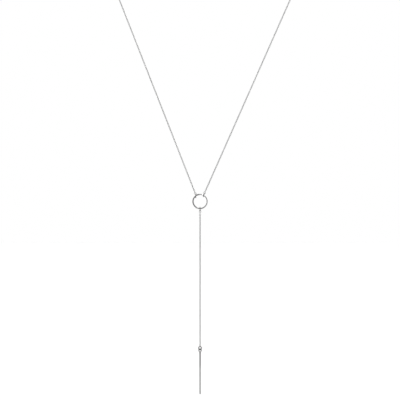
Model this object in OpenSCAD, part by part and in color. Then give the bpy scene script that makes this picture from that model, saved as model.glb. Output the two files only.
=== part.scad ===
// A Y necklace: a fine cable chain round the neck, a small ring at the bottom of the V,
// and below it a straight drop of the same chain that ends in a slim round bar.
// It is shown as it hangs when worn. Sizes are in millimetres and angles in degrees.
// The origin is the middle of the neck at the height of the nape. +X is to the right of
// someone who faces the wearer, -Y is to the front and +Z is up.

/* [Loop round the neck] */
// Width of the loop at the sides of the neck
neck_w = 118; // [112:0.5:128]
// Distance from the sides of the neck back to the nape
nape_depth = 43; // [36:0.5:56]
// Height of the nape above the sides of the neck
nape_rise = 12; // [6:0.5:16]
// Distance between the tops of the two straight legs
leg_top_w = 112.6; // [100:0.2:114]
// Distance from the sides of the neck forward to the tops of the legs
leg_top_front = 20; // [16:0.5:26]
// Height of the nape above the tops of the legs
leg_top_drop = 24; // [20:0.5:30]
// Length over which each leg starts to turn back at its top
corner_lead = 9; // [6:0.5:11]
// Length over which the turn settles into the curve round the neck
corner_trail = 12; // [8:0.5:15]

/* [Centre ring] */
// Outer diameter of the centre ring
ring_od = 9.9; // [8:0.1:14]
// Thickness of the centre ring's wire
ring_wire = 0.95; // [0.6:0.05:1.1]
// Height of the nape above the middle of the ring
ring_drop = 157; // [145:0.5:170]
// Distance from the sides of the neck forward to the ring
ring_front = 54; // [46:0.5:64]
// How far the ring hangs to the left of the middle of the neck
ring_aside = 3.1; // [0:0.01:6]

/* [Jump rings] */
// Outer diameter of the jump rings at the centre ring and the clasp
jump_od = 3.05; // [2.95:0.05:3.6]
// Thickness of the jump rings' wire
jump_wire = 0.56; // [0.4:0.02:0.6]
// Angle from the ring's top to the left jump ring
left_seat = 37.5; // [28:0.5:40]
// Angle from the ring's top to the right jump ring
right_seat = 31; // [24:0.5:40]
// How far the left jump ring tips outwards
left_tip = 0; // [0:0.2:12]
// How far the right jump ring tips outwards
right_tip = 16.6; // [8:0.2:22]

/* [Chain] */
// Length of one link
link_len = 1.71; // [1.6:0.01:2]
// Width of one link, which is also the thickness of the chain
link_w = 1.05; // [1:0.01:1.2]
// Thickness of the wire of a link
link_wire = 0.28; // [0.22:0.01:0.3]
// Length of the wider link at each end of a chain
end_link_len = 1.9; // [1.8:0.01:2.4]
// Width of the wider link at each end of a chain
end_link_w = 1.4; // [1.34:0.01:1.6]
// Length of the drop chain, between the bends of wire at its two ends
drop_len = 87; // [60:0.25:110]
// Angle of the drop chain's links to the front
link_turn = 45; // [35:1:55]
// Number of links over which the chain turns to that angle at each end
turn_links = 9; // [6:1:14]

/* [Bar pendant] */
// Outer diameter of the link that the bar hangs on
pendant_link_od = 2.75; // [2.75:0.05:3.4]
// Thickness of that link's wire
pendant_link_wire = 0.58; // [0.4:0.01:0.6]
// How far that link is turned from facing front
pendant_link_turn = 30; // [30:1:40]
// Outer diameter of the eye on top of the bar
eye_od = 2.6; // [2.6:0.05:3.2]
// Thickness of the eye's wire
eye_wire = 0.6; // [0.4:0.01:0.6]
// How far the eye is turned from facing front, the other way
eye_turn = 41; // [41:1:45]
// Thickness of the bar
bar_d = 0.95; // [0.7:0.05:1.3]
// Length of the bar below the middle of the eye's wire
bar_len = 27; // [15:0.1:40]

/* [Clasp] */
// Outer diameter of the spring ring clasp
clasp_od = 6; // [5.6:0.1:8]
// Thickness of the clasp's tube
clasp_tube = 1.3; // [1:0.05:1.5]
// Outer diameter of the eye on the clasp
clasp_eye_od = 2.6; // [2.4:0.05:3.2]
// Thickness of that eye's wire
clasp_eye_wire = 0.6; // [0.45:0.05:0.62]
// Thickness of the clasp's thumb stud
stud_d = 0.7; // [0.5:0.05:0.9]
// Height of the thumb stud above the clasp's tube
stud_h = 0.7; // [0.4:0.05:1.2]
// Outer diameter of the end ring that the clasp closes on
end_ring_od = 4.2; // [4.1:0.05:5]
// Thickness of the end ring's wire
end_ring_wire = 0.6; // [0.45:0.05:0.7]

/* [Clearances] */
// Gap between rings and links that hang in each other
play = 0.1; // [0.1:0.01:0.14]
// Gap between the end of a neck chain and its jump ring
end_gap = 0.2; // [0.12:0.01:0.4]

/* [Hidden] */

// Fineness of round wire and of rings
wire_fn = 24;
ring_fn = 72;
link_fn = 32;
// Sides and rings of a neck chain's tube
chain_sides = 8;
leg_rings = 12;
corner_rings = 9;
back_rings = 18;
// Share of a tube's radius by which a soldered piece is sunk into it
solder_share = 0.3;

// Radii to the middle of each wire
ring_r = (ring_od - ring_wire) / 2;
jump_r = (jump_od - jump_wire) / 2;
pendant_link_r = (pendant_link_od - pendant_link_wire) / 2;
eye_r = (eye_od - eye_wire) / 2;
clasp_r = (clasp_od - clasp_tube) / 2;
clasp_eye_r = (clasp_eye_od - clasp_eye_wire) / 2;
end_ring_r = (end_ring_od - end_ring_wire) / 2;

// Distance between the middles of two wires that hang in each other
function hooked(wire_a, wire_b) = (wire_a + wire_b) / 2 + play;

// Where the centre ring is
ring_at = [-ring_aside, -ring_front, -ring_drop];

// The drop, from the ring downwards
drop_link_z = ring_at.z - ring_r + hooked(ring_wire, jump_wire) - jump_r;
drop_top_z = drop_link_z - jump_r + hooked(jump_wire, link_wire);
drop_bottom_z = drop_top_z - drop_len;
pendant_link_z = drop_bottom_z + hooked(link_wire, pendant_link_wire) - pendant_link_r;
eye_z = pendant_link_z - pendant_link_r + hooked(pendant_link_wire, eye_wire) - eye_r;

// Links of the drop chain: the widest pitch that still leaves the play between two links,
// with a little more where the chain turns and two links aren't quite square to each other
end_step = end_link_len - link_wire;
link_step = link_len - link_wire;
turn_play = 0.0065;
least_hook = hooked(link_wire, link_wire) + turn_play;
drop_links = ceil((drop_len - 2 * end_step + least_hook) / (link_step - least_hook));
drop_hook = (2 * end_step + drop_links * link_step - drop_len) / (drop_links + 1);

// The clasp's pieces lie in a line along X at the nape, centred on the neck
clasp_eye_at = -(clasp_r + clasp_tube / 2 * (1 - solder_share) + clasp_eye_r + clasp_eye_wire / 2);
clasp_link_at = clasp_eye_at - clasp_eye_r + hooked(clasp_eye_wire, jump_wire) - jump_r;
end_ring_at = clasp_r - hooked(clasp_tube, end_ring_wire) + end_ring_r;
left_bow_at = clasp_link_at - jump_r + hooked(jump_wire, link_wire);
right_bow_at = end_ring_at + end_ring_r - hooked(end_ring_wire, link_wire);
clasp_x = -(left_bow_at + right_bow_at) / 2;
bow_half = (right_bow_at - left_bow_at) / 2;

// The curve round the back of the neck: half an ellipse that rises to the nape
function back_angle(x) = acos(2 * x / neck_w);
function back_point(side, a) = [
    side * neck_w / 2 * cos(a),
    nape_depth * sin(a),
    nape_rise * (sin(a) - 1)
];
bow_angle = back_angle(bow_half);
clasp_at = [clasp_x, back_point(1, bow_angle).y, back_point(1, bow_angle).z];

// The centre ring's jump rings: side is -1 on the left and 1 on the right
function seat(side) = side < 0 ? left_seat : right_seat;
function tip(side) = side < 0 ? left_tip : right_tip;
function wire_point(side) = ring_at + ring_r * [side * sin(seat(side)), 0, cos(seat(side))];
function leg_top(side) = [side * leg_top_w / 2, -leg_top_front, -leg_top_drop];
function lean_back(side) = asin((ring_front - leg_top_front) / norm(leg_top(side) - wire_point(side)));
function pull(side) = [
    side * sin(tip(side)) * cos(lean_back(side)),
    sin(lean_back(side)),
    cos(tip(side)) * cos(lean_back(side))
];
// How far below the middle of the curved wire a jump ring reaches, to hang on it with the play
function reach(side) =
    let (across = ring_r * cos(seat(side) - tip(side)), apart = hooked(jump_wire, ring_wire))
    across - sqrt(across * across - apart * (2 * ring_r - apart));
function jump_at(side) =
    wire_point(side) + (jump_r - reach(side)) * [side * sin(tip(side)), 0, cos(tip(side))];
function bow_at(side) = jump_at(side) + (jump_r - hooked(jump_wire, link_wire)) * pull(side);

// The route of a neck chain: straight leg, corner over the shoulder, back of the neck
function leg_way(side) = (leg_top(side) - bow_at(side)) / norm(leg_top(side) - bow_at(side));
function bezier(p, t) =
    pow(1 - t, 3) * p[0] + 3 * pow(1 - t, 2) * t * p[1] + 3 * (1 - t) * t * t * p[2] + pow(t, 3) * p[3];
function corner_frame(side) = [
    leg_top(side),
    leg_top(side) + corner_lead * leg_way(side),
    back_point(side, 0) - corner_trail * [0, nape_depth, nape_rise] / norm([nape_depth, nape_rise]),
    back_point(side, 0)
];

// A chain's tube stops short of the jump ring at each of its ends
function past_jump(wire) = hooked(wire, link_wire) + wire / 2 + end_gap;
function leg_start(side) = bow_at(side) + leg_way(side) * past_jump(jump_wire);
function back_end(side) = back_angle(bow_half + past_jump(side < 0 ? jump_wire : end_ring_wire));
function route(side) = concat(
    [for (i = [0 : leg_rings - 1]) leg_start(side) + (leg_top(side) - leg_start(side)) * i / leg_rings],
    [for (i = [0 : corner_rings - 1]) bezier(corner_frame(side), i / corner_rings)],
    [for (i = [0 : back_rings]) back_point(side, back_end(side) * i / back_rings)]
);

// Sweep of a round section along a route that goes round the Z axis
function unit(v) = v / norm(v);
function way(p, i) = unit(p[min(i + 1, len(p) - 1)] - p[max(i - 1, 0)]);
function section(centre, along, r, sides) =
    let (across = unit(cross(along, [centre.x, centre.y, 0])), up = cross(along, across))
    [for (k = [0 : sides - 1]) centre + r * (cos(360 * k / sides) * across + sin(360 * k / sides) * up)];
function tube_points(p, r, sides) = [for (i = [0 : len(p) - 1]) each section(p[i], way(p, i), r, sides)];
function tube_faces(rings, sides) = concat(
    [[for (k = [0 : sides - 1]) k]],
    [
        for (i = [0 : rings - 2], k = [0 : sides - 1])
        let (a = i * sides + k, b = i * sides + (k + 1) % sides)
        each [[a, a + sides, b + sides], [a, b + sides, b]]
    ],
    [[for (k = [sides - 1 : -1 : 0]) (rings - 1) * sides + k]]
);

module tube(p, d, sides) {
    polyhedron(points = tube_points(p, d / 2, sides), faces = tube_faces(len(p), sides));
}

// A closed ring of round wire, lying flat, r from its middle to the middle of the wire
module wire_ring(r, wire) {
    rotate_extrude($fn = ring_fn) translate([r, 0]) circle(d = wire, $fn = wire_fn);
}

// A chain link of round wire, lying flat and long along Y
module link(length, width) {
    r = (width - link_wire) / 2;
    straight = length - width;
    for (end = [0, 1]) {
        rotate([0, 0, 180 * end]) translate([0, straight / 2, 0])
            rotate_extrude(angle = 180, $fn = link_fn) translate([r, 0]) circle(d = link_wire, $fn = wire_fn);
        translate([(2 * end - 1) * r, straight / 2, 0]) rotate([90, 0, 0])
            cylinder(d = link_wire, h = straight, $fn = wire_fn);
    }
}

// Angle of link i of the drop chain to the front: square to the ring above it at the top,
// square to the pendant's link at the bottom, and at the chain's own angle in between
function even_turn(i) = link_turn + 90 * (i % 2);
function near_end(i) = max(0, 1 - i / turn_links);
last_turn = 90 - pendant_link_turn - even_turn(drop_links + 1);
function drop_turn(i) =
    even_turn(i) - link_turn * near_end(i) + last_turn * near_end(drop_links + 1 - i);

module drop_link_at(i, z) {
    is_end = i == 0 || i == drop_links + 1;
    translate([ring_at.x, ring_at.y, z]) rotate([90, 0, drop_turn(i)])
        link(is_end ? end_link_len : link_len, is_end ? end_link_w : link_w);
}

module jump_ring(side) {
    translate(jump_at(side)) rotate([0, 90 + side * tip(side), 0]) wire_ring(jump_r, jump_wire);
}

module center_ring() {
    color("silver") translate(ring_at) rotate([90, 0, 0]) wire_ring(ring_r, ring_wire);
}

module ring_link_left() {
    color("silver") jump_ring(-1);
}

module ring_link_right() {
    color("silver") jump_ring(1);
}

module ring_link_drop() {
    color("silver") translate([ring_at.x, ring_at.y, drop_link_z]) rotate([0, 90, 0])
        wire_ring(jump_r, jump_wire);
}

module neck_chain_left() {
    color("gainsboro") tube(route(-1), link_w, chain_sides);
}

module neck_chain_right() {
    color("gainsboro") tube(route(1), link_w, chain_sides);
}

module clasp() {
    color("silver") translate(clasp_at) {
        rotate([90, 0, 0]) wire_ring(clasp_r, clasp_tube);
        translate([clasp_eye_at, 0, 0]) rotate([90, 0, 0]) wire_ring(clasp_eye_r, clasp_eye_wire);
        translate([0, 0, clasp_r]) cylinder(d = stud_d, h = clasp_tube / 2 + stud_h, $fn = wire_fn);
    }
}

module clasp_link() {
    color("silver") translate(clasp_at + [clasp_link_at, 0, 0]) wire_ring(jump_r, jump_wire);
}

module end_ring() {
    color("silver") translate(clasp_at + [end_ring_at, 0, 0]) wire_ring(end_ring_r, end_ring_wire);
}

module drop_chain() {
    first = drop_top_z - end_step / 2;
    last = drop_bottom_z + end_step / 2;
    second = first - (end_step + link_step) / 2 + drop_hook;
    color("gainsboro") {
        drop_link_at(0, first);
        for (i = [1 : drop_links]) drop_link_at(i, second - (i - 1) * (link_step - drop_hook));
        drop_link_at(drop_links + 1, last);
    }
}

module pendant_link() {
    color("silver") translate([ring_at.x, ring_at.y, pendant_link_z]) rotate([90, 0, -pendant_link_turn])
        wire_ring(pendant_link_r, pendant_link_wire);
}

// The bar is a round rod with a domed lower end, soldered to its eye
module bar_pendant() {
    color("silver") translate([ring_at.x, ring_at.y, eye_z]) {
        rotate([90, 0, eye_turn]) wire_ring(eye_r, eye_wire);
        translate([0, 0, -eye_r - bar_len + bar_d / 2]) {
            cylinder(d = bar_d, h = bar_len - bar_d / 2, $fn = link_fn);
            sphere(d = bar_d, $fn = link_fn);
        }
    }
}

center_ring();
ring_link_left();
ring_link_right();
ring_link_drop();
neck_chain_left();
neck_chain_right();
clasp();
clasp_link();
end_ring();
drop_chain();
pendant_link();
bar_pendant();
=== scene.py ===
import math
from functools import partial

import bmesh
import bpy
import numpy as np
from bpy.props import FloatProperty, FloatVectorProperty, IntProperty, PointerProperty
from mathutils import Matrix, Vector


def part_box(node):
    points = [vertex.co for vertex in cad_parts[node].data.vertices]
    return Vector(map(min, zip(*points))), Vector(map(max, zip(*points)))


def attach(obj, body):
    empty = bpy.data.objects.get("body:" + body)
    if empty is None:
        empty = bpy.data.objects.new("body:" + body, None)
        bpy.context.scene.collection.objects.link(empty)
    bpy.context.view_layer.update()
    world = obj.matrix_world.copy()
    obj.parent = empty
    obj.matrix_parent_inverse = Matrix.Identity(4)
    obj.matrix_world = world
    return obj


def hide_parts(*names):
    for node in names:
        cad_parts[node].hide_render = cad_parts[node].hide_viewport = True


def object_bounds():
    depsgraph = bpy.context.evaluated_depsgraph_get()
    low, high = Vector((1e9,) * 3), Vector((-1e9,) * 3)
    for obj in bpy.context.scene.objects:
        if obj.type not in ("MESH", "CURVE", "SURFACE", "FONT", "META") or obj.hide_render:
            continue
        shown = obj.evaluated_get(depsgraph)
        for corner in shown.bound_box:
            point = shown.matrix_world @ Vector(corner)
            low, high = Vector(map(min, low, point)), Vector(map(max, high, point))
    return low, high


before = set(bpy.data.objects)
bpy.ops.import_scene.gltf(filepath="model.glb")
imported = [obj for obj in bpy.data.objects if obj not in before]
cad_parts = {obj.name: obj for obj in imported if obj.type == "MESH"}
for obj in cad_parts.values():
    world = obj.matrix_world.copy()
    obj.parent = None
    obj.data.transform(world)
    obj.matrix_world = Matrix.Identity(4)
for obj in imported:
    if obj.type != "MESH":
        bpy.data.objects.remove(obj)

bl_info = {
    "name": "Y Necklace",
    "version": (1, 0, 0),
    "blender": (4, 5, 0),
    "location": "View3D > Sidebar > Necklace",
    "description": "Builds a fine silver Y necklace round its solid model",
    "category": "Object",
}

CAD_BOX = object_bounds()
MM = 0.001
DEG = math.pi / 180
QUARTER_TURN = math.pi / 2
NECKLACE_BODY = "necklace"
LINK_BODY = "hanging_link"
BAR_BODY = "bar"
WHITE = (1.0, 1.0, 1.0, 1.0)


def low(node):
    """Lowest corner of a solid's box."""
    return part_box(node)[0]


def high(node):
    """Highest corner of a solid's box."""
    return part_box(node)[1]


def middle(node):
    """Middle of a solid's box."""
    return (low(node) + high(node)) / 2


def extent(node, axis):
    """Size of a solid's box along an axis, 0 for X, 1 for Y and 2 for Z."""
    return high(node)[axis] - low(node)[axis]


RING_WIRE = 0.95 * MM
JUMP_WIRE = extent("ring_link_drop", 0)
END_RING_WIRE = extent("end_ring", 2)

# Settings

def length(name, description, default):
    """A length in metres that the sidebar shows in the scene's unit."""
    return FloatProperty(
        name=name, description=description, default=default, min=0.0, precision=5, unit="LENGTH"
    )


def angle(name, description, degrees):
    """An angle, given in degrees and kept in radians."""
    return FloatProperty(name=name, description=description, default=degrees * DEG, subtype="ANGLE")


def brightness(name, description, default):
    """A brightness, 1 for white paper in full light."""
    return FloatProperty(name=name, description=description, default=default, min=0.0)


def colour(name, description, default):
    """A colour without alpha."""
    return FloatVectorProperty(
        name=name, description=description, default=default, size=3, min=0.0, max=1.0, subtype="COLOR"
    )


class NecklaceRoute(bpy.types.PropertyGroup):
    """Where the chain runs round the neck."""

    neck_width: length("Neck width", "Width of the loop at the sides of the neck", 118 * MM)
    nape_depth: length("Nape depth", "From the sides of the neck back to the nape", 43 * MM)
    nape_rise: length("Nape rise", "Height of the nape above the sides of the neck", 12 * MM)
    leg_top_width: length("Leg tops apart", "Distance between the tops of the straight legs", 112.6 * MM)
    leg_top_front: length("Leg tops forward", "From the sides of the neck to the leg tops", 20 * MM)
    leg_top_drop: length("Leg tops down", "Height of the nape above the leg tops", 24 * MM)
    corner_lead: length("Corner lead", "Length over which a leg starts to turn back", 9 * MM)
    corner_trail: length("Corner trail", "Length over which the turn settles", 12 * MM)
    left_seat: angle("Left seat", "From the ring's top to the left jump ring", 37.5)
    right_seat: angle("Right seat", "From the ring's top to the right jump ring", 31.0)
    left_tip: angle("Left tip", "How far the left jump ring tips outwards", 0.0)
    right_tip: angle("Right tip", "How far the right jump ring tips outwards", 16.6)
    front_reach: angle("Front reach", "How far round the neck the links keep facing the front", 70.0)


class NecklaceChain(bpy.types.PropertyGroup):
    """Sizes of the chain's links."""

    link_length: length("Link length", "Length of one link", 1.71 * MM)
    link_width: length("Link width", "Width of one link", 1.05 * MM)
    link_wire: length("Link wire", "Thickness of a link's wire", 0.28 * MM)
    end_length: length("End link length", "Length of the wider link at each end", 1.9 * MM)
    end_width: length("End link width", "Width of the wider link at each end", 1.4 * MM)
    play: length("Play", "Gap between links that hang in each other", 0.1 * MM)
    turn_play: length("Turn play", "Extra gap, because turned links aren't quite square", 0.0065 * MM)
    turn: angle("Link turn", "Angle of the links to the front", 45.0)
    turn_links: IntProperty(
        name="Turning links", description="Links over which the chain turns at its ends", default=9, min=1
    )
    bend_points: IntProperty(
        name="Points of a link", description="Points along the wire of one link", default=12, min=8, max=16
    )
    wire_sides: IntProperty(
        name="Sides of the wire", description="Sides of a link's wire", default=6, min=5, max=8
    )


class NecklacePendant(bpy.types.PropertyGroup):
    """Sizes of the bar, its eye and the link that it hangs on."""

    link_wire: length("Link wire", "Thickness of the wire of the bar's link", 0.58 * MM)
    link_turn: angle("Link turn", "How far the bar's link is turned from the front", 30.0)
    eye_diameter: length("Eye diameter", "Outer diameter of the bar's eye", 2.6 * MM)
    eye_wire: length("Eye wire", "Thickness of the eye's wire", 0.6 * MM)
    eye_turn: angle("Eye turn", "How far the eye is turned from the front, the other way", 41.0)
    bar_diameter: length("Bar diameter", "Thickness of the bar", 0.95 * MM)
    shoulder: length("Shoulder", "Rounding of the bar's upper end", 0.14 * MM)
    solder_rise: length("Solder rise", "Height of the solder round the eye's foot", 0.16 * MM)


class NecklaceFindings(bpy.types.PropertyGroup):
    """Sizes of the clasp and the jump rings."""

    cut: length("Jump ring cut", "Width of the closed cut in a jump ring", 0.03 * MM)
    clasp_eye: length("Clasp eye diameter", "Outer diameter of the eye on the clasp", 2.6 * MM)
    clasp_eye_wire: length("Clasp eye wire", "Thickness of that eye's wire", 0.6 * MM)
    stud: length("Thumb stud", "Thickness of the clasp's thumb stud", 0.7 * MM)
    groove: length("Gate line", "Depth of the fine lines at the ends of the clasp's gate", 0.05 * MM)
    groove_width: length("Gate line width", "Width of those fine lines", 0.07 * MM)


class NecklaceFinish(bpy.types.PropertyGroup):
    """Colours of the silver."""

    silver: colour("Silver", "Colour of the polished silver", (0.97, 0.97, 0.97))
    # The tarnish colour is also the colour of the painted shade
    tarnish_and_shade: colour("Tarnish And Shade", "Colour of the dulled silver", (0.3, 0.3, 0.3))


class NecklaceStudio(bpy.types.PropertyGroup):
    """The floor, the room that the silver mirrors, and the picture's width."""

    paper: colour("Paper", "Colour of the floor", (0.93, 0.93, 0.93))
    floor_glow: brightness("Floor glow", "Light that the floor adds where the camera sees it", 0.3)
    floor_gap: length("Floor gap", "From the bar's tip down to the floor", 20 * MM)
    floor_front: length("Floor front", "How far the floor reaches in front of the necklace", 150 * MM)
    floor_reach: length("Floor reach", "How far the floor reaches back and to each side", 6.0)
    room_front: brightness("Room in front", "Brightness of the room in front", 0.12)
    room_back: brightness("Room behind", "Brightness of the room behind", 0.95)
    room_height: brightness("Room above", "Brightness added straight above and below", 0.3)
    picture_width: length("Picture width", "Width of the picture at the ring", 254 * MM)


class NecklaceSettings(bpy.types.PropertyGroup):
    """Everything that a user would change."""

    route: PointerProperty(type=NecklaceRoute)
    chain: PointerProperty(type=NecklaceChain)
    pendant: PointerProperty(type=NecklacePendant)
    findings: PointerProperty(type=NecklaceFindings)
    finish: PointerProperty(type=NecklaceFinish)
    studio: PointerProperty(type=NecklaceStudio)


def settings():
    """The necklace's settings on the current scene."""
    return bpy.context.scene.necklace


# Nodes

def socket(group, name, kind, default=None, output=False):
    """Adds a named input or output to a node group."""
    made = group.interface.new_socket(
        name=name, in_out="OUTPUT" if output else "INPUT", socket_type=kind
    )
    if default is not None:
        made.default_value = default


def new_group(name, kind, inputs, outputs):
    """A node group with named inputs and outputs, and the sockets that give its inputs."""
    group = bpy.data.node_groups.new(name, kind)
    for input_name, input_kind, default in inputs:
        socket(group, input_name, input_kind, default)
    for output_name, output_kind in outputs:
        socket(group, output_name, output_kind, output=True)
    return group, place(group, "NodeGroupInput").outputs


def place(tree, kind, values=None, **options):
    """Adds a node, sets its options and the values or links of its inputs."""
    node = tree.nodes.new(kind)
    for option, value in options.items():
        setattr(node, option, value)
    for key, value in (values or {}).items():
        if isinstance(value, bpy.types.NodeSocket):
            tree.links.new(value, node.inputs[key])
        else:
            node.inputs[key].default_value = value
    return node


def math_node(tree, operation, *values):
    """A Math node's result."""
    return place(tree, "ShaderNodeMath", dict(enumerate(values)), operation=operation).outputs[0]


def vector_node(tree, operation, first, second):
    """A Vector Math node's outputs."""
    return place(tree, "ShaderNodeVectorMath", {0: first, 1: second}, operation=operation).outputs


def map_range(tree, value, start, end, first, last, way="SMOOTHSTEP"):
    """A number that goes from first to last while the value goes from start to end."""
    values = {"Value": value, "From Min": start, "From Max": end, "To Min": first, "To Max": last}
    return place(tree, "ShaderNodeMapRange", values, interpolation_type=way).outputs["Result"]


def noise(tree, spot, scale, detail, roughness):
    """A soft noise between 0 and 1."""
    values = {"Vector": spot, "Scale": scale, "Detail": detail, "Roughness": roughness}
    return place(tree, "ShaderNodeTexNoise", values).outputs["Fac"]


# The silver's finishes, with their painted shade

# Noise at which a cloud of tarnish starts, and at which it is full
CLOUD_START, CLOUD_FULL = 0.42, 0.68
# Roughness that full dulling, tarnish and painted shade add
TARNISH_AND_SHADE_ROUGHNESS = 0.08
# Height of the fine lines at a depth of 1
LINE_HEIGHT = 0.01 * MM


def wear_and_shade_group():
    """Polished silver's surface: dulling that is partly painted shade, patches of painted shade, faint
    clouds of tarnish, uneven polish and fine lines.
    """
    found = bpy.data.node_groups.get("silver_wear_and_shade")
    if found:
        return found
    inputs = (
        ("Silver", "NodeSocketColor", (0.9, 0.9, 0.9, 1.0)),
        ("Tarnish And Shade", "NodeSocketColor", (0.4, 0.4, 0.4, 1.0)),
        # The next input is dulling, which on the chain, the links and the bar is painted shade
        ("Dulling And Shade", "NodeSocketFloat", 0.3),
        # The next input takes the soft patches of painted shade
        ("Painted Shade", "NodeSocketFloat", 0.0),
        ("Clouds", "NodeSocketFloat", 0.2),
        ("Cloud Scale", "NodeSocketFloat", 700.0),
        ("Polish", "NodeSocketFloat", 0.14),
        ("Unevenness", "NodeSocketFloat", 0.1),
        ("Line Scale", "NodeSocketVector", (9000.0, 9000.0, 900.0)),
        ("Line Depth", "NodeSocketFloat", 0.2),
    )
    outputs = (
        ("Color", "NodeSocketColor"),
        ("Roughness", "NodeSocketFloat"),
        ("Normal", "NodeSocketVector"),
    )
    group, given = new_group("silver_wear_and_shade", "ShaderNodeTree", inputs, outputs)
    calc = partial(math_node, group)
    spot = place(group, "ShaderNodeTexCoord").outputs["Object"]
    cloud = noise(group, spot, given["Cloud Scale"], detail=4.0, roughness=0.6)
    clouds = map_range(group, cloud, CLOUD_START, CLOUD_FULL, 0.0, given["Clouds"])
    # Tarnish clouds add to the dulling and to the patches of painted shade
    dulling_and_shade_sum = calc("ADD", calc("ADD", given["Dulling And Shade"], clouds), given["Painted Shade"])
    dulling_and_shade = place(group, "ShaderNodeClamp", {"Value": dulling_and_shade_sum}).outputs[0]
    # A Mix node's sockets for colours are inputs 6 and 7 and output 2
    tone = place(
        group, "ShaderNodeMix",
        {"Factor": dulling_and_shade, 6: given["Silver"], 7: given["Tarnish And Shade"]},
        data_type="RGBA",
    ).outputs[2]
    uneven = calc("MULTIPLY_ADD", cloud, given["Unevenness"], given["Polish"])
    rough = calc("MULTIPLY_ADD", dulling_and_shade, TARNISH_AND_SHADE_ROUGHNESS, uneven)
    stretched = vector_node(group, "MULTIPLY", spot, given["Line Scale"])["Vector"]
    lines = noise(group, stretched, scale=1.0, detail=2.0, roughness=0.55)
    bump = place(
        group, "ShaderNodeBump",
        {"Strength": given["Line Depth"], "Distance": LINE_HEIGHT, "Height": lines},
    ).outputs["Normal"]
    place(group, "NodeGroupOutput", {"Color": tone, "Roughness": rough, "Normal": bump})
    return group


def patch_group():
    """A soft round patch: full inside its full radius, 0 outside its outer radius."""
    found = bpy.data.node_groups.get("soft_patch")
    if found:
        return found
    inputs = (
        ("Centre", "NodeSocketVector", (0.0, 0.0, 0.0)),
        ("Full Radius", "NodeSocketFloat", 1.0 * MM),
        ("Outer Radius", "NodeSocketFloat", 2.0 * MM),
        ("Strength", "NodeSocketFloat", 1.0),
    )
    group, given = new_group("soft_patch", "ShaderNodeTree", inputs, [("Mask", "NodeSocketFloat")])
    spot = place(group, "ShaderNodeTexCoord").outputs["Object"]
    away = vector_node(group, "DISTANCE", spot, given["Centre"])["Value"]
    mask = map_range(group, away, given["Outer Radius"], given["Full Radius"], 0.0, given["Strength"])
    place(group, "NodeGroupOutput", {"Mask": mask})
    return group


def painted_shade_patch(centre, full_mm, outer_mm, strength):
    """One soft patch of painted shade, with its radii in millimetres, as the patch group's inputs."""
    return {
        "Centre": tuple(centre),
        "Full Radius": full_mm * MM,
        "Outer Radius": outer_mm * MM,
        "Strength": strength,
    }


def chain_painted_shade():
    """Painted shade where the drop's last link holds the bar's link."""
    x, y, _ = middle("pendant_link")
    return [painted_shade_patch((x, y, high("pendant_link").z - 0.5 * MM), 0.5, 0.9, 0.9)]


def ring_painted_shade():
    """Painted shade on the left of the centre ring, and a small spot of painted shade at its top left."""
    return [
        painted_shade_patch(ring_point(232 * DEG), 4.5, 7.5, 0.55),
        painted_shade_patch(ring_point(341 * DEG), 0.4, 1.4, 0.85),
    ]


def link_painted_shade():
    """Painted shade on the jump rings at the centre ring and on the bar's link."""
    return [
        painted_shade_patch(middle("center_ring"), 7.5, 9.0, 0.9),
        painted_shade_patch(middle("pendant_link"), 2.0, 3.0, 1.0),
    ]


def bar_painted_shade():
    """Painted shade on the bar's eye, and less of it on the upper part of the bar."""
    x, y, _ = middle("center_ring")
    top = high("bar_pendant").z
    return [
        painted_shade_patch((x, y, top - settings().pendant.eye_diameter / 2), 1.2, 2.2, 0.7),
        painted_shade_patch((x, y, top - 6.5 * MM), 4.0, 6.5, 0.35),
    ]


# The finish of each material slot of the record. The dulling of the chain, the links and the bar, well
# above the ring's, is painted shade.
FINISHES = {
    "chain_silver": {
        "Dulling And Shade": 0.5, "Clouds": 0.1, "Polish": 0.14, "Unevenness": 0.12,
        "Line Scale": (6000.0, 6000.0, 6000.0), "Line Depth": 0.15,
    },
    "ring_silver": {
        "Dulling And Shade": 0.0, "Clouds": 0.15, "Polish": 0.08, "Unevenness": 0.1,
        "Line Scale": (2500.0, 9000.0, 2500.0), "Line Depth": 0.2,
    },
    "link_silver": {
        "Dulling And Shade": 0.5, "Clouds": 0.1, "Polish": 0.12, "Unevenness": 0.12,
        "Line Scale": (5000.0, 5000.0, 5000.0), "Line Depth": 0.15,
    },
    "bar_silver": {
        "Dulling And Shade": 0.44, "Clouds": 0.1, "Polish": 0.1, "Unevenness": 0.1,
        "Line Scale": (12000.0, 12000.0, 500.0), "Line Depth": 0.3,
    },
    "clasp_silver": {
        "Dulling And Shade": 0.3, "Clouds": 0.2, "Polish": 0.1, "Unevenness": 0.12,
        "Line Scale": (3000.0, 9000.0, 3000.0), "Line Depth": 0.2,
    },
}
PAINTED_SHADE = {
    "chain_silver": chain_painted_shade,
    "ring_silver": ring_painted_shade,
    "link_silver": link_painted_shade,
    "bar_silver": bar_painted_shade,
}


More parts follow.
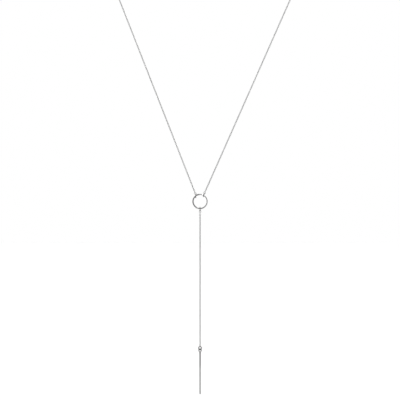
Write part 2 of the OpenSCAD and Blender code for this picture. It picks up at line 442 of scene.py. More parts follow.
def finish_of(slot):
    """The silver of a material slot: one Principled shader fed by the wear group and its patches of
    painted shade.
    """
    name = "worn_and_shaded_" + slot
    found = bpy.data.materials.get(name)
    if found:
        return found
    finish = settings().finish
    material = bpy.data.materials.new(name)
    material.use_nodes = True
    tree = material.node_tree
    tree.nodes.clear()
    colours = {"Silver": (*finish.silver, 1.0), "Tarnish And Shade": (*finish.tarnish_and_shade, 1.0)}
    wear_and_shade_node = place(tree, "ShaderNodeGroup", {**colours, **FINISHES[slot]}, node_tree=wear_and_shade_group())
    # Soft patches of painted shade darken the silver towards its tarnish colour
    if slot in PAINTED_SHADE:
        shade_masks = [
            place(tree, "ShaderNodeGroup", values, node_tree=patch_group()).outputs["Mask"]
            for values in PAINTED_SHADE[slot]()
        ]
        strongest_shade = shade_masks[0]
        for mask in shade_masks[1:]:
            strongest_shade = math_node(tree, "MAXIMUM", strongest_shade, mask)
        tree.links.new(strongest_shade, wear_and_shade_node.inputs["Painted Shade"])
    shader = place(
        tree, "ShaderNodeBsdfPrincipled",
        {
            "Base Color": wear_and_shade_node.outputs["Color"],
            "Roughness": wear_and_shade_node.outputs["Roughness"],
            "Normal": wear_and_shade_node.outputs["Normal"],
            "Metallic": 1.0,
        },
    )
    place(tree, "ShaderNodeOutputMaterial", {"Surface": shader.outputs["BSDF"]})
    return material


# Meshes

# Edges that are sharper than this stay sharp: in general, and on the few-sided chain links
SHARP_EDGE = 40 * DEG
SHARP_LINK_EDGE = 75 * DEG
# Bevel at the cut of a jump ring, as a share of its wire
CUT_BEVEL = 0.06


def new_object(name, mesh):
    """Links a mesh into the scene as an object at the origin."""
    made = bpy.data.objects.new(name, mesh)
    bpy.context.scene.collection.objects.link(made)
    return made


def smooth_mesh(name, points, faces):
    """A mesh with outward faces, shaded smooth apart from its sharp edges."""
    mesh = bpy.data.meshes.new(name)
    mesh.from_pydata([tuple(p) for p in points], [], faces)
    tidy(mesh)
    return mesh


def tidy(mesh, sharp_edge=SHARP_EDGE):
    """Turns all faces outwards and sets the shading."""
    work = bmesh.new()
    work.from_mesh(mesh)
    bmesh.ops.recalc_face_normals(work, faces=work.faces)
    work.to_mesh(mesh)
    work.free()
    mesh.polygons.foreach_set("use_smooth", [True] * len(mesh.polygons))
    mesh.set_sharp_from_angle(angle=sharp_edge)
    mesh.update()


def loft_faces(rings, sides, closed):
    """Faces between neighbouring rings of points, with flat caps at open ends."""
    faces = []
    for i in range(rings if closed else rings - 1):
        j = (i + 1) % rings
        for k in range(sides):
            m = (k + 1) % sides
            faces.append((i * sides + k, i * sides + m, j * sides + m, j * sides + k))
    if not closed:
        faces.append(tuple(range(sides)))
        faces.append(tuple(range((rings - 1) * sides, rings * sides)))
    return faces


def round_section(radius, sides):
    """Points of a round wire's section: outwards from the ring's middle, and along its axis."""
    turns = np.arange(sides) * 2 * math.pi / sides
    return np.stack([radius * np.cos(turns), radius * np.sin(turns)], 1)


def ring_plane(centre, across, up):
    """A ring's middle, the two directions in its plane and its axis, as arrays."""
    u, v = np.array(across, float), np.array(up, float)
    return np.array(centre, float), u, v, np.cross(u, v)


def sweep_ring(plane, radius, turns, sections):
    """Rings of points round a circle: one section of (outwards, along the axis) for each turn."""
    centre, u, v, axis = plane
    rings = []
    for turn, section in zip(turns, sections):
        out = math.cos(turn) * u + math.sin(turn) * v
        rings.append(centre + out * (radius + section[:, :1]) + axis * section[:, 1:])
    return np.array(rings)


def wire_ring_mesh(name, plane, radius, wire, segments, sides):
    """A closed ring of round wire."""
    turns = (np.arange(segments) + 0.5) * 2 * math.pi / segments
    section = round_section(wire / 2, sides)
    rings = sweep_ring(plane, radius, turns, [section] * segments)
    return smooth_mesh(name, rings.reshape(-1, 3), loft_faces(segments, sides, True))


def jump_ring_mesh(name, plane, radius, wire, cut_turn, segments=72, sides=20):
    """A jump ring of round wire, bent until its two sheared ends meet at a fine cut."""
    bevel = wire * CUT_BEVEL
    half_cut = settings().findings.cut / 2 / radius
    start, end = cut_turn + half_cut, cut_turn + 2 * math.pi - half_cut
    step = bevel / radius
    round_turns = np.linspace(start + 3 * step, end - 3 * step, segments)
    turns = [start, start + step, *round_turns, end - step, end]
    radii = [wire / 2 - bevel] + [wire / 2] * (len(turns) - 2) + [wire / 2 - bevel]
    rings = sweep_ring(plane, radius, turns, [round_section(r, sides) for r in radii])
    return smooth_mesh(name, rings.reshape(-1, 3), loft_faces(len(turns), sides, False))


def lathe_mesh(name, foot, outline, sides):
    """A shape turned round the upright axis through foot, from (radius, height) points."""
    foot = np.array(foot, float)
    turns = np.arange(sides) * 2 * math.pi / sides
    rows = [
        np.stack([r * np.cos(turns), r * np.sin(turns), np.full(sides, h)], 1) + foot
        for r, h in outline
    ]
    return smooth_mesh(name, np.concatenate(rows), loft_faces(len(outline), sides, False))


def union_mesh(name, meshes):
    """One closed mesh from several that overlap, as soldered metal is one piece."""
    base = new_object(name, meshes[0])
    others = [new_object(f"{name}_{i}", mesh) for i, mesh in enumerate(meshes[1:])]
    for other in others:
        join = base.modifiers.new("solder", "BOOLEAN")
        join.operation = "UNION"
        join.solver = "EXACT"
        join.object = other
    graph = bpy.context.evaluated_depsgraph_get()
    made = bpy.data.meshes.new_from_object(base.evaluated_get(graph))
    for thing in [base, *others]:
        bpy.data.objects.remove(thing)
    if len(made.polygons) < max(len(mesh.polygons) for mesh in meshes):
        raise RuntimeError(f"{name}: the union lost one of its pieces")
    tidy(made)
    return made


def finish_piece(piece, slot, body, node):
    """Gives a piece the finish of its slot and its body, and hides the solid that it stands for."""
    piece.data.materials.clear()
    piece.data.materials.append(finish_of(slot))
    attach(piece, body)
    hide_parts(node)


# The chain's links by Geometry Nodes

def wire_circle(tree, points, radius):
    """A closed curve of points round Z."""
    values = {"Resolution": points, "Radius": radius}
    return place(tree, "GeometryNodeCurvePrimitiveCircle", values).outputs["Curve"]


def turned(tree, geometry, rotation):
    """Geometry turned round the origin."""
    return place(tree, "GeometryNodeTransform", {"Geometry": geometry, "Rotation": rotation}).outputs[0]


def switch(tree, when, no, yes):
    """One of two numbers."""
    values = {"Switch": when, "False": no, "True": yes}
    return place(tree, "GeometryNodeSwitch", values, input_type="FLOAT").outputs[0]


def link_nodes(tree, given, link_length, link_width):
    """Nodes that make one link of wire, long along Z and facing Y, and put it out."""
    calc = partial(math_node, tree)
    wire = given["Wire"]
    half_step = calc("DIVIDE", math.pi, given["Bend Points"])
    bend = calc("MULTIPLY", calc("SUBTRACT", link_width, wire), 0.5)
    radius = calc("DIVIDE", bend, calc("COSINE", half_step))
    straight = calc("MULTIPLY", calc("SUBTRACT", link_length, link_width), 0.5)
    circle = wire_circle(tree, given["Bend Points"], radius)
    turn = place(tree, "ShaderNodeCombineXYZ", {"Z": half_step}).outputs[0]
    where = place(tree, "GeometryNodeInputPosition").outputs[0]
    side = calc("SIGN", place(tree, "ShaderNodeSeparateXYZ", {0: where}).outputs["Y"])
    offset = place(tree, "ShaderNodeCombineXYZ", {"Y": calc("MULTIPLY", side, straight)}).outputs[0]
    outline = place(
        tree, "GeometryNodeSetPosition", {"Geometry": turned(tree, circle, turn), "Offset": offset}
    ).outputs[0]
    profile = wire_circle(tree, given["Wire Sides"], calc("MULTIPLY", wire, 0.5))
    link = place(tree, "GeometryNodeCurveToMesh", {"Curve": outline, "Profile Curve": profile}).outputs[0]
    return turned(tree, link, (QUARTER_TURN, 0.0, 0.0))


def link_spacing(tree, given, index, full):
    """Where a link's middle lies along the line, the last link's number, and whether it is at an end."""
    calc = partial(math_node, tree)
    end_step = calc("SUBTRACT", given["End Length"], given["Wire"])
    step = calc("SUBTRACT", given["Link Length"], given["Wire"])
    grip = calc("ADD", given["Wire"], given["Play"])
    ends = calc("MULTIPLY", end_step, 2.0)
    inner = calc("ADD", calc("SUBTRACT", full, ends), grip)
    # The fewest links that leave each pair an overlap of a wire and the play
    middle_links = calc("CEIL", calc("DIVIDE", inner, calc("SUBTRACT", step, grip)))
    last = calc("ADD", middle_links, 1.0)
    # The links together are longer than the line, and the pairs share the surplus as their overlap
    surplus = calc("SUBTRACT", calc("MULTIPLY_ADD", middle_links, step, ends), full)
    overlap = calc("DIVIDE", surplus, last)
    pitch = calc("SUBTRACT", step, overlap)
    start = calc("SUBTRACT", calc("MULTIPLY_ADD", step, 0.5, end_step), overlap)
    along = calc("MULTIPLY_ADD", calc("SUBTRACT", index, 1.0), pitch, start)
    half_end = calc("MULTIPLY", end_step, 0.5)
    is_first = calc("COMPARE", index, 0.0, 0.5)
    is_last = calc("COMPARE", index, last, 0.5)
    after_first = switch(tree, is_first, along, half_end)
    at = switch(tree, is_last, after_first, calc("SUBTRACT", full, half_end))
    return at, last, calc("ADD", is_first, is_last)


def odd_turn(tree, number):
    """A quarter turn for links with an odd number, because neighbours stand across each other."""
    return math_node(tree, "MULTIPLY", math_node(tree, "MODULO", number, 2.0), QUARTER_TURN)


def nearness(tree, links_away, reach):
    """1 at the end of a chain, falling to 0 over the links that turn."""
    calc = partial(math_node, tree)
    return calc("MAXIMUM", 0.0, calc("SUBTRACT", 1.0, calc("DIVIDE", links_away, reach)))


def link_roll(tree, given, index, last, outwards):
    """How far a link is rolled round the line: to the front's angle, and to what each end hangs in."""
    calc = partial(math_node, tree)
    face = place(tree, "ShaderNodeSeparateXYZ", {0: outwards}).outputs
    round_neck = calc("ARCTAN2", face["X"], calc("MULTIPLY", face["Y"], -1.0))
    limit = given["Front Reach"]
    off_front = calc("MAXIMUM", calc("MINIMUM", round_neck, limit), calc("MULTIPLY", limit, -1.0))
    turn = given["Turn"]
    plain = calc("SUBTRACT", calc("ADD", odd_turn(tree, index), turn), off_front)
    near_first = nearness(tree, index, given["Turning Links"])
    near_last = nearness(tree, calc("SUBTRACT", last, index), given["Turning Links"])
    first_gap = calc("SUBTRACT", given["First Turn"], turn)
    last_gap = calc("SUBTRACT", given["Last Turn"], calc("ADD", odd_turn(tree, last), turn))
    last_turn = calc("WRAP", last_gap, QUARTER_TURN, -QUARTER_TURN)
    from_first = calc("MULTIPLY_ADD", near_first, first_gap, plain)
    return calc("MULTIPLY_ADD", near_last, last_turn, from_first)


def chain_tree():
    """A Geometry Nodes tree that hangs links along a line, each turned against the last."""
    found = bpy.data.node_groups.get("wire_link_chain")
    if found:
        return found
    sizes = ("Link Length", "Link Width", "End Length", "End Width", "Wire", "Play")
    angles = ("First Turn", "Turn", "Last Turn", "Front Reach")
    inputs = (
        ("Line", "NodeSocketGeometry", None),
        *((name, "NodeSocketFloat", 1.0 * MM) for name in sizes),
        *((name, "NodeSocketFloat", 0.0) for name in angles),
        ("Turning Links", "NodeSocketInt", 9),
        ("Bend Points", "NodeSocketInt", 12),
        ("Wire Sides", "NodeSocketInt", 6),
        ("Facing From", "NodeSocketVector", (0.0, 0.0, 0.0)),
        ("Material", "NodeSocketMaterial", None),
    )
    outputs = [("Links", "NodeSocketGeometry")]
    tree, given = new_group("wire_link_chain", "GeometryNodeTree", inputs, outputs)
    calc = partial(math_node, tree)

    line = place(tree, "GeometryNodeMeshToCurve", {"Mesh": given["Line"]}).outputs[0]
    full = place(tree, "GeometryNodeCurveLength", {0: line}).outputs[0]
    index = place(tree, "GeometryNodeInputIndex").outputs[0]
    at, last, is_end = link_spacing(tree, given, index, full)
    sample = place(tree, "GeometryNodeSampleCurve", {"Curves": line, "Length": at}, mode="LENGTH").outputs
    points = place(
        tree, "GeometryNodePoints", {"Count": calc("ADD", last, 1.0), "Position": sample["Position"]}
    ).outputs[0]

    away = vector_node(tree, "SUBTRACT", sample["Position"], given["Facing From"])["Vector"]
    outwards = vector_node(tree, "MULTIPLY", away, (1.0, 1.0, 0.0))["Vector"]
    facing = place(
        tree, "FunctionNodeAxesToRotation",
        {"Primary Axis": sample["Tangent"], "Secondary Axis": outwards},
        primary_axis="Z", secondary_axis="Y",
    ).outputs[0]
    roll = link_roll(tree, given, index, last, outwards)
    spin = place(
        tree, "FunctionNodeAxisAngleToRotation", {"Axis": (0.0, 0.0, 1.0), "Angle": roll}
    ).outputs[0]
    rotation = place(
        tree, "FunctionNodeRotateRotation", {"Rotation": facing, "Rotate By": spin}, rotation_space="LOCAL"
    ).outputs[0]

    middle_link = link_nodes(tree, given, given["Link Length"], given["Link Width"])
    end_link = link_nodes(tree, given, given["End Length"], given["End Width"])
    hung = place(tree, "GeometryNodeJoinGeometry")
    for link, chosen in ((middle_link, calc("SUBTRACT", 1.0, is_end)), (end_link, is_end)):
        copies = place(
            tree, "GeometryNodeInstanceOnPoints",
            {"Points": points, "Instance": link, "Selection": chosen, "Rotation": rotation},
        )
        tree.links.new(copies.outputs[0], hung.inputs[0])
    real = place(tree, "GeometryNodeRealizeInstances", {"Geometry": hung.outputs[0]})
    painted = place(
        tree, "GeometryNodeSetMaterial", {"Geometry": real.outputs[0], "Material": given["Material"]}
    )
    place(tree, "NodeGroupOutput", {"Links": painted.outputs[0]})
    return tree


def hang_chain(node, route, first_turn, turn, last_turn, facing_from):
    """Hangs a chain of links along a route and makes it a plain mesh."""
    name = node + "_links"
    chain = settings().chain
    mesh = bpy.data.meshes.new(name)
    mesh.from_pydata([tuple(p) for p in route], [(i, i + 1) for i in range(len(route) - 1)], [])
    piece = new_object(name, mesh)
    tree = chain_tree()
    links = piece.modifiers.new("links", "NODES")
    links.node_group = tree
    values = {
        "Link Length": chain.link_length,
        "Link Width": chain.link_width,
        "End Length": chain.end_length,
        "End Width": chain.end_width,
        "Wire": chain.link_wire,
        "Play": chain.play + chain.turn_play,
        "First Turn": first_turn,
        "Turn": turn,
        "Last Turn": last_turn,
        "Front Reach": settings().route.front_reach,
        "Turning Links": chain.turn_links,
        "Bend Points": chain.bend_points,
        "Wire Sides": chain.wire_sides,
        "Facing From": facing_from,
        "Material": finish_of("chain_silver"),
    }
    for item in tree.interface.items_tree:
        if item.item_type == "SOCKET" and item.name in values:
            links[item.identifier] = values[item.name]
    graph = bpy.context.evaluated_depsgraph_get()
    made = bpy.data.meshes.new_from_object(piece.evaluated_get(graph))
    piece.modifiers.remove(links)
    piece.data = made
    made.name = name
    tidy(made, SHARP_LINK_EDGE)
    finish_piece(piece, "chain_silver", NECKLACE_BODY, node)


# The necklace's layout, worked out from the solids; side is -1 on the left and 1 on the right

def hooked(wire_a, wire_b):
    """Distance between the middles of two wires that hang in each other."""
    return (wire_a + wire_b) / 2 + settings().chain.play


def ring_radius(node, wire):
    """Radius to the middle of the wire of a ring that shows its full height."""
    return (max(extent(node, axis) for axis in range(3)) - wire) / 2


def ring_point(turn):
    """Middle of the centre ring's wire at an angle from its top, clockwise from the front."""
    radius = ring_radius("center_ring", RING_WIRE)
    return middle("center_ring") + radius * Vector((math.sin(turn), 0, math.cos(turn)))


def tip(side):
    """How far a jump ring of the centre ring tips outwards."""
    return settings().route.left_tip if side < 0 else settings().route.right_tip


def seat(side):
    """Angle from the ring's top to a jump ring."""
    return settings().route.left_seat if side < 0 else settings().route.right_seat


def leg_top(side):
    """Top of a straight leg."""
    route = settings().route
    return Vector((side * route.leg_top_width / 2, -route.leg_top_front, -route.leg_top_drop))


def lean_back(side):
    """How far a leg leans back from upright."""
    run = leg_top(side) - ring_point(side * seat(side))
    return math.asin(run.y / run.length)


def bow_at(side):
    """Middle of the wire where a neck chain hangs in its jump ring."""
    lean = lean_back(side)
    pull = Vector((
        side * math.sin(tip(side)) * math.cos(lean),
        math.sin(lean),
        math.cos(tip(side)) * math.cos(lean),
    ))
    node = "ring_link_left" if side < 0 else "ring_link_right"
    reach = ring_radius(node, JUMP_WIRE) - hooked(JUMP_WIRE, settings().chain.link_wire)
    return middle(node) + reach * pull


def nape_bow(side):
    """How far from the middle a neck chain hangs in its ring at the clasp."""
    wire = settings().chain.link_wire
    if side < 0:
        return -(low("clasp_link").x + JUMP_WIRE / 2 + hooked(JUMP_WIRE, wire))
    return high("end_ring").x - END_RING_WIRE / 2 - hooked(END_RING_WIRE, wire)


def back_point(side, turn):
    """A point of the curve round the back of the neck."""
    route = settings().route
    return Vector((
        side * route.neck_width / 2 * math.cos(turn),
        route.nape_depth * math.sin(turn),
        route.nape_rise * (math.sin(turn) - 1),
    ))


def neck_route(side, corner_points=28, back_points=90):
    """The line of a neck chain: straight leg, corner over the shoulder, back of the neck."""
    route = settings().route
    bow = bow_at(side)
    top = leg_top(side)
    way = (top - bow).normalized()
    rise = Vector((0, route.nape_depth, route.nape_rise)).normalized()
    end = back_point(side, 0)
    handles = [top, top + way * route.corner_lead, end - rise * route.corner_trail, end]
    weights = (
        lambda t: (1 - t) ** 3,
        lambda t: 3 * (1 - t) ** 2 * t,
        lambda t: 3 * (1 - t) * t * t,
        lambda t: t ** 3,
    )
    corner = [
        sum((w(i / corner_points) * p for w, p in zip(weights, handles)), Vector())
        for i in range(corner_points)
    ]
    last_turn = math.acos(2 * nape_bow(side) / route.neck_width)
    back = [back_point(side, last_turn * i / back_points) for i in range(back_points + 1)]
    return [bow, *corner, *back]


# Operators, one for each group of like pieces

class NECKLACE_OT_centre_ring(bpy.types.Operator):
    """Builds the small ring that joins the two legs and the drop."""

    bl_idname = "necklace.centre_ring"
    bl_label = "Centre Ring"

    def execute(self, context):
        name = "center_ring_wire"
        plane = ring_plane(middle("center_ring"), (1, 0, 0), (0, 0, 1))
        radius = ring_radius("center_ring", RING_WIRE)
        mesh = wire_ring_mesh(name, plane, radius, RING_WIRE, segments=160, sides=32)
        finish_piece(new_object(name, mesh), "ring_silver", NECKLACE_BODY, "center_ring")
        return {"FINISHED"}


class NECKLACE_OT_jump_rings(bpy.types.Operator):
    """Builds the jump rings at the centre ring and the clasp."""

    bl_idname = "necklace.jump_rings"
    bl_label = "Jump Rings"

    def execute(self, context):
        forward = (0, -1, 0)
        left_up = (-math.sin(tip(-1)), 0, math.cos(tip(-1)))
        right_up = (math.sin(tip(1)), 0, math.cos(tip(1)))
        rings = [
            ("ring_link_left", JUMP_WIRE, forward, left_up, 150),
            ("ring_link_right", JUMP_WIRE, forward, right_up, 200),
            ("ring_link_drop", JUMP_WIRE, forward, (0, 0, 1), 165),
            ("clasp_link", JUMP_WIRE, (1, 0, 0), (0, 1, 0), 70),
            ("end_ring", END_RING_WIRE, (1, 0, 0), (0, 1, 0), 110),
        ]
        for node, wire, across, up, cut_degrees in rings:
            name = node + "_wire"
            plane = ring_plane(middle(node), across, up)
            mesh = jump_ring_mesh(name, plane, ring_radius(node, wire), wire, cut_degrees * DEG)
            finish_piece(new_object(name, mesh), "link_silver", NECKLACE_BODY, node)
        return {"FINISHED"}


class NECKLACE_OT_neck_chains(bpy.types.Operator):
    """Hangs the two halves of the neck chain, link by link."""

    bl_idname = "necklace.neck_chains"
    bl_label = "Neck Chains"

    def execute(self, context):
        turn = settings().chain.turn
        for side, node in ((-1, "neck_chain_left"), (1, "neck_chain_right")):
            hang_chain(node, neck_route(side), 0.0, turn, 0.0, (0, 0, 0))
        return {"FINISHED"}


class NECKLACE_OT_drop_chain(bpy.types.Operator):
    """Hangs the straight drop of chain below the centre ring."""

    bl_idname = "necklace.drop_chain"
    bl_label = "Drop Chain"

    def execute(self, context):
        chain = settings().chain
        pendant = settings().pendant
        x, y, _ = middle("center_ring")
        top = low("ring_link_drop").z + JUMP_WIRE / 2 + hooked(JUMP_WIRE, chain.link_wire)
        link_top = high("pendant_link").z - pendant.link_wire / 2
        bottom = link_top - hooked(pendant.link_wire, chain.link_wire)
        last_turn = pendant.link_turn - QUARTER_TURN
        hang_chain("drop_chain", [(x, y, top), (x, y, bottom)], 0.0, -chain.turn, last_turn, (x, 0, 0))
        return {"FINISHED"}


class NECKLACE_OT_pendant(bpy.types.Operator):
    """Builds the bar with its soldered eye and the link that it hangs on."""

    bl_idname = "necklace.pendant"
    bl_label = "Bar Pendant"

    # Half outline of the solder up the eye: out, in eye wires, and up, as a share of its height
    SOLDER = ((0.55, 0.35), (0.44, 1.0))
    # The dome at the bar's lower end starts this far from its tip, with a tiny flat cap
    DOME_START = 0.02

    def execute(self, context):
        sizes = settings().pendant
        across = (math.cos(sizes.link_turn), -math.sin(sizes.link_turn), 0)
        plane = ring_plane(middle("pendant_link"), across, (0, 0, 1))
        radius = ring_radius("pendant_link", sizes.link_wire)
        link = jump_ring_mesh("pendant_link_wire", plane, radius, sizes.link_wire, cut_turn=25 * DEG)
        finish_piece(new_object("pendant_link_wire", link), "link_silver", LINK_BODY, "pendant_link")

        x, y, _ = middle("center_ring")
        eye_z = high("bar_pendant").z - sizes.eye_diameter / 2
        eye_radius = (sizes.eye_diameter - sizes.eye_wire) / 2
        across = (math.cos(sizes.eye_turn), math.sin(sizes.eye_turn), 0)
        eye_plane = ring_plane((x, y, eye_z), across, (0, 0, 1))
        eye = wire_ring_mesh("bar_eye", eye_plane, eye_radius, sizes.eye_wire, segments=96, sides=24)
        outline = self.bar_outline(sizes, eye_z - eye_radius)
        rod = lathe_mesh("bar_rod", (x, y, 0), outline, sides=48)
        bar = union_mesh("bar_pendant_rod", [rod, eye])
        finish_piece(new_object("bar_pendant_rod", bar), "bar_silver", BAR_BODY, "bar_pendant")
        return {"FINISHED"}

    def bar_outline(self, sizes, foot_z):
        """Half outline of the bar: domed lower end, long side, rounded shoulder, solder up the eye."""
        radius = sizes.bar_diameter / 2
        tip_z = low("bar_pendant").z
        dome = [
            (radius * math.sin(a), tip_z + radius * (1 - math.cos(a)))
            for a in np.linspace(self.DOME_START, QUARTER_TURN, 16)
        ]
        side = [(radius, z) for z in np.linspace(tip_z + 2 * radius, foot_z - 2 * radius, 8)]
        shoulder = [
            (radius - sizes.shoulder * (1 - math.cos(a)), foot_z - sizes.shoulder * (1 - math.sin(a)))
            for a in np.linspace(0, QUARTER_TURN, 8)
        ]
        solder = [(sizes.eye_wire * out, foot_z + sizes.solder_rise * up) for out, up in self.SOLDER]
        return [*dome, *side, *shoulder, *solder]


class NECKLACE_OT_clasp(bpy.types.Operator):
    """Builds the spring ring clasp at the nape."""

    bl_idname = "necklace.clasp"
    bl_label = "Clasp"

    # Half outline of the thumb stud's head, in its radius: out from its axis, down from its top
    STUD_HEAD = ((0.9, 0.9), (1.0, 0.75), (1.0, 0.3), (0.7, 0.05), (0.3, 0.0))
    # Where the two fine lines at the ends of the gate are
    GATE_LINES = (25 * DEG, 78 * DEG)

    def execute(self, context):
        sizes = settings().findings
        tube = extent("clasp", 1)
        radius = (extent("clasp", 0) - sizes.clasp_eye - tube) / 2
        y = middle("clasp").y
        x = high("clasp").x - radius - tube / 2
        z = low("clasp").z + radius + tube / 2
        ring = self.tube_mesh((x, y, z), radius, tube / 2)
        wire = sizes.clasp_eye_wire
        eye_plane = ring_plane((low("clasp").x + sizes.clasp_eye / 2, y, z), (1, 0, 0), (0, 0, 1))
        eye_radius = (sizes.clasp_eye - wire) / 2
        eye = wire_ring_mesh("clasp_eye", eye_plane, eye_radius, wire, segments=72, sides=20)
        stud = lathe_mesh("clasp_stud", (x, y, 0), self.stud_outline(z + radius), sides=32)
        mesh = union_mesh("clasp_ring", [ring, eye, stud])
        finish_piece(new_object("clasp_ring", mesh), "clasp_silver", NECKLACE_BODY, "clasp")
        return {"FINISHED"}

    def stud_outline(self, foot_z):
        """Half outline of the thumb stud: a short neck with a rounded head."""
        radius = settings().findings.stud / 2
        top = high("clasp").z
        neck_width, _ = self.STUD_HEAD[0]
        head = [(radius * out, top - radius * down) for out, down in self.STUD_HEAD]
        return [(radius * neck_width, foot_z), *head]

    def tube_mesh(self, centre, radius, tube_radius, segments=120, sides=28):
        """The clasp's round tube, with two fine lines where its gate would end."""
        sizes = settings().findings
        half_line = sizes.groove_width / 2 / radius
        turns = set(np.linspace(0, 2 * math.pi, segments, endpoint=False))
        for line in self.GATE_LINES:
            turns |= {line - half_line, line, line + half_line}
        turns = sorted(turns)
        sections = [
            round_section(tube_radius - (sizes.groove if turn in self.GATE_LINES else 0.0), sides)
            for turn in turns
        ]
        rings = sweep_ring(ring_plane(centre, (1, 0, 0), (0, 0, 1)), radius, turns, sections)
        return smooth_mesh("clasp_tube", rings.reshape(-1, 3), loft_faces(len(turns), sides, True))


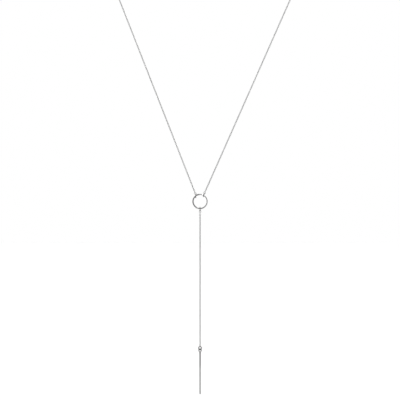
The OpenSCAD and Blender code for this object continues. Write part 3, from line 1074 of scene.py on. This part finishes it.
class NECKLACE_OT_stage(bpy.types.Operator):
    """Sets the pale floor, the studio light and the camera."""

    bl_idname = "necklace.stage"
    bl_label = "Stage"

    # Each soft box: metres from the necklace's middle, width and height in metres, brightness
    SOFT_BOXES = {
        "right_box": ((4.8, -2.2, 0.0), 2.0, 4.8, 0.7),
        "left_box": ((-4.8, -2.0, 0.0), 1.6, 4.0, 0.5),
        "top_strip": ((1.35, -2.25, 2.85), 1.65, 0.6, 5.0),
    }
    # Focal length and sensor width in millimetres: a long lens far off shows little perspective
    LENS, SENSOR = 200.0, 36.0
    # From the ring's middle to the middle of the picture
    AIM_X, AIM_Z = -0.05 * MM, 0.93 * MM
    # Nearest and farthest that the camera sees, in metres
    CLIP_START, CLIP_END = 0.05, 20.0
    PAPER_ROUGHNESS = 0.9

    def execute(self, context):
        self.floor()
        self.world(context.scene)
        self.lights(context.scene)
        self.camera(context.scene)
        context.scene.view_settings.view_transform = "Standard"
        return {"FINISHED"}

    def floor(self):
        """A wide sheet of pale paper under the necklace, lit until it is as white as the backdrop."""
        studio = settings().studio
        reach = studio.floor_reach
        front = CAD_BOX[0].y - studio.floor_front
        height = CAD_BOX[0].z - studio.floor_gap
        corners = ((-reach, front), (reach, front), (reach, reach), (-reach, reach))
        mesh = bpy.data.meshes.new("paper_floor")
        mesh.from_pydata([(x, y, height) for x, y in corners], [], [(0, 1, 2, 3)])
        material = bpy.data.materials.new("paper")
        material.use_nodes = True
        tree = material.node_tree
        shader = tree.nodes["Principled BSDF"]
        shader.inputs["Base Color"].default_value = (*studio.paper, 1.0)
        shader.inputs["Roughness"].default_value = self.PAPER_ROUGHNESS
        shader.inputs["Emission Color"].default_value = WHITE
        seen = place(tree, "ShaderNodeLightPath").outputs["Is Camera Ray"]
        glow = math_node(tree, "MULTIPLY", seen, studio.floor_glow)
        tree.links.new(glow, shader.inputs["Emission Strength"])
        mesh.materials.append(material)
        new_object("paper_floor", mesh)

    def world(self, scene):
        """White paper behind the necklace, and a dim room in front for the silver to mirror."""
        studio = settings().studio
        world = bpy.data.worlds.new("studio")
        scene.world = world
        world.use_nodes = True
        tree = world.node_tree
        tree.nodes.clear()
        way = place(tree, "ShaderNodeTexCoord").outputs["Generated"]
        _, depth, height = place(tree, "ShaderNodeSeparateXYZ", {0: way}).outputs
        level = map_range(tree, depth, -1.0, 1.0, studio.room_front, studio.room_back, way="LINEAR")
        steep = math_node(tree, "ABSOLUTE", height)
        room = math_node(tree, "MULTIPLY_ADD", steep, studio.room_height, level)
        paper = place(tree, "ShaderNodeBackground", {"Color": WHITE, "Strength": 1.0}).outputs[0]
        grey = place(tree, "ShaderNodeBackground", {"Color": WHITE, "Strength": room}).outputs[0]
        seen = place(tree, "ShaderNodeLightPath").outputs["Is Camera Ray"]
        mixed = place(tree, "ShaderNodeMixShader", {0: seen, 1: grey, 2: paper}).outputs[0]
        place(tree, "ShaderNodeOutputWorld", {"Surface": mixed})

    def lights(self, scene):
        """Soft boxes round the necklace, aimed at its middle."""
        aim = (CAD_BOX[0] + CAD_BOX[1]) / 2
        for name, (spot, width, height, bright) in self.SOFT_BOXES.items():
            data = bpy.data.lights.new(name, "AREA")
            data.shape = "RECTANGLE"
            data.size = width
            data.size_y = height
            data.energy = bright * math.pi * width * height
            lamp = bpy.data.objects.new(name, data)
            scene.collection.objects.link(lamp)
            lamp.location = aim + Vector(spot)
            lamp.rotation_mode = "QUATERNION"
            lamp.rotation_quaternion = Vector(spot).to_track_quat("Z", "Y")

    def camera(self, scene):
        """A level camera far in front, from where the picture has its width at the ring."""
        data = bpy.data.cameras.new("camera")
        data.lens = self.LENS
        data.sensor_width = self.SENSOR
        data.clip_start = self.CLIP_START
        data.clip_end = self.CLIP_END
        eye = bpy.data.objects.new("camera", data)
        scene.collection.objects.link(eye)
        distance = settings().studio.picture_width * self.LENS / self.SENSOR
        eye.location = middle("center_ring") + Vector((self.AIM_X, -distance, self.AIM_Z))
        eye.rotation_euler = (QUARTER_TURN, 0.0, 0.0)
        scene.camera = eye


class NECKLACE_PT_panel(bpy.types.Panel):
    """Lists the necklace's settings and operators."""

    bl_idname = "NECKLACE_PT_panel"
    bl_label = "Y Necklace"
    bl_space_type = "VIEW_3D"
    bl_region_type = "UI"
    bl_category = "Necklace"

    def draw(self, context):
        for group in ("route", "chain", "pendant", "findings", "finish", "studio"):
            box = self.layout.box()
            box.label(text=group.capitalize())
            values = getattr(context.scene.necklace, group)
            for name in values.__annotations__:
                box.prop(values, name)
        for operator in OPERATORS:
            self.layout.operator(operator.bl_idname)


GROUPS = (
    NecklaceRoute,
    NecklaceChain,
    NecklacePendant,
    NecklaceFindings,
    NecklaceFinish,
    NecklaceStudio,
    NecklaceSettings,
)
OPERATORS = (
    NECKLACE_OT_centre_ring,
    NECKLACE_OT_jump_rings,
    NECKLACE_OT_neck_chains,
    NECKLACE_OT_drop_chain,
    NECKLACE_OT_pendant,
    NECKLACE_OT_clasp,
    NECKLACE_OT_stage,
)


def register():
    """Registers the settings, the operators and the panel."""
    for kind in (*GROUPS, *OPERATORS, NECKLACE_PT_panel):
        bpy.utils.register_class(kind)
    bpy.types.Scene.necklace = PointerProperty(type=NecklaceSettings)


def unregister():
    """Removes what register added."""
    del bpy.types.Scene.necklace
    for kind in reversed((*GROUPS, *OPERATORS, NECKLACE_PT_panel)):
        bpy.utils.unregister_class(kind)


def main():
    """Builds every piece and the stage."""
    register()
    bpy.ops.necklace.centre_ring()
    bpy.ops.necklace.jump_rings()
    bpy.ops.necklace.neck_chains()
    bpy.ops.necklace.drop_chain()
    bpy.ops.necklace.pendant()
    bpy.ops.necklace.clasp()
    bpy.ops.necklace.stage()


if __name__ == "__main__":
    main()
